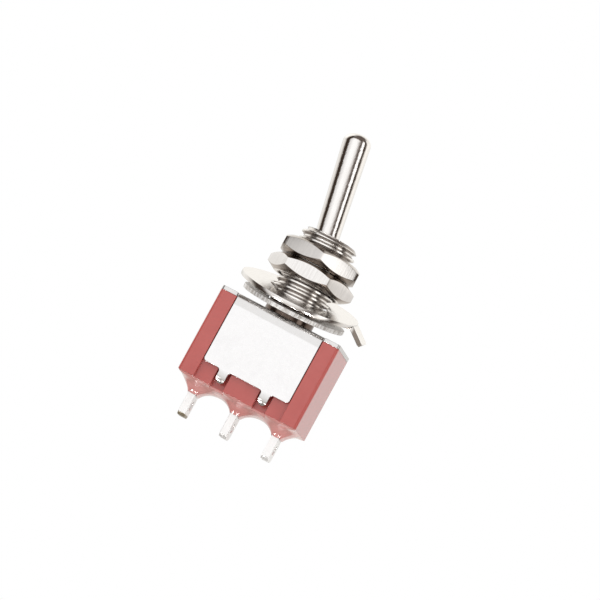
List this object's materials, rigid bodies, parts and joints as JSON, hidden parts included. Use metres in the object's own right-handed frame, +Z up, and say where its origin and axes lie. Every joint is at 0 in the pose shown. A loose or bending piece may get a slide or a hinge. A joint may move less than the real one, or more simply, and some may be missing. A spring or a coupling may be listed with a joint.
{
  "type": "toggle switch",
  "caption": "Miniature panel toggle switch: moulded case in a folded bracket, threaded bushing with nuts, locking ring and lock washer, leaning bat lever and solder terminals.",
  "frame": {"origin": "on the bushing's axis, at the top face of the bracket", "axes": "+Z up the bushing, X along the row of terminals, -Y towards the face seen in front"},
  "size_m": [0.0144, 0.0122, 0.033],
  "materials": {
    "case_plastic": "moulded thermoset, red, satin to glossy",
    "seal_resin": "cured potting resin, red, wet gloss",
    "bracket_sheet": "tinned sheet steel, bright satin",
    "thread_nickel": "nickel plated brass thread",
    "pin_steel": "drawn steel wire",
    "lever_nickel": "polished nickel plate",
    "plunger_nylon": "natural nylon",
    "spring_steel": "spring wire",
    "rocker_bronze": "phosphor bronze strip",
    "terminal_silver": "silver plated brass",
    "contact_silver": "silver",
    "ring_plate": "plated sheet steel, satin",
    "washer_steel": "plated spring steel",
    "nut_nickel": "nickel plated brass, milled flats"
  },
  "bodies": {
    "switch_body": {"case": "case_plastic", "terminal_seal": "seal_resin", "bracket": "bracket_sheet", "bushing": "thread_nickel", "pivot_pin": "pin_steel", "terminal_left": "terminal_silver", "terminal_centre": "terminal_silver", "terminal_right": "terminal_silver", "contact_left": "contact_silver", "contact_right": "contact_silver", "locking_ring": "ring_plate", "lock_washer": "washer_steel"},
    "lever_body": {"lever": "lever_nickel", "plunger_spring": "spring_steel"},
    "plunger_body": {"plunger": "plunger_nylon"},
    "rocker_body": {"rocker": "rocker_bronze"},
    "lower_nut_body": {"lower_nut": "nut_nickel"},
    "upper_nut_body": {"upper_nut": "nut_nickel"}
  },
  "joints": [
    {"name": "lever_throw", "type": "hinge", "parent": "switch_body", "child": "lever_body", "pos_m": [0, 0, 0.0065], "axis": [0, 1, 0], "range_deg": [0, 22]},
    {"name": "contact_rock", "type": "hinge", "parent": "switch_body", "child": "rocker_body", "pos_m": [0, 0, -0.00485], "axis": [0, 1, 0], "range_deg": [-16, 0]},
    {"name": "plunger_slide", "type": "slide", "parent": "lever_body", "child": "plunger_body", "axis": [-0.1908, 0, 0.9816], "range_m": [0, 0.0004], "stiffness_N_per_m": 150, "springref_m": -0.002, "deforming": ["plunger_spring"]},
    {"name": "lower_nut_turn", "type": "hinge", "parent": "switch_body", "child": "lower_nut_body", "pos_m": [0, 0, 0.005], "axis": [0, 0, 1], "continuous": true},
    {"name": "upper_nut_turn", "type": "hinge", "parent": "switch_body", "child": "upper_nut_body", "pos_m": [0, 0, 0.00686], "axis": [0, 0, 1], "continuous": true}
  ],
  "couplings": [
    {"joint": "contact_rock", "follows": "lever_throw", "ratio": -0.72727}
  ]
}
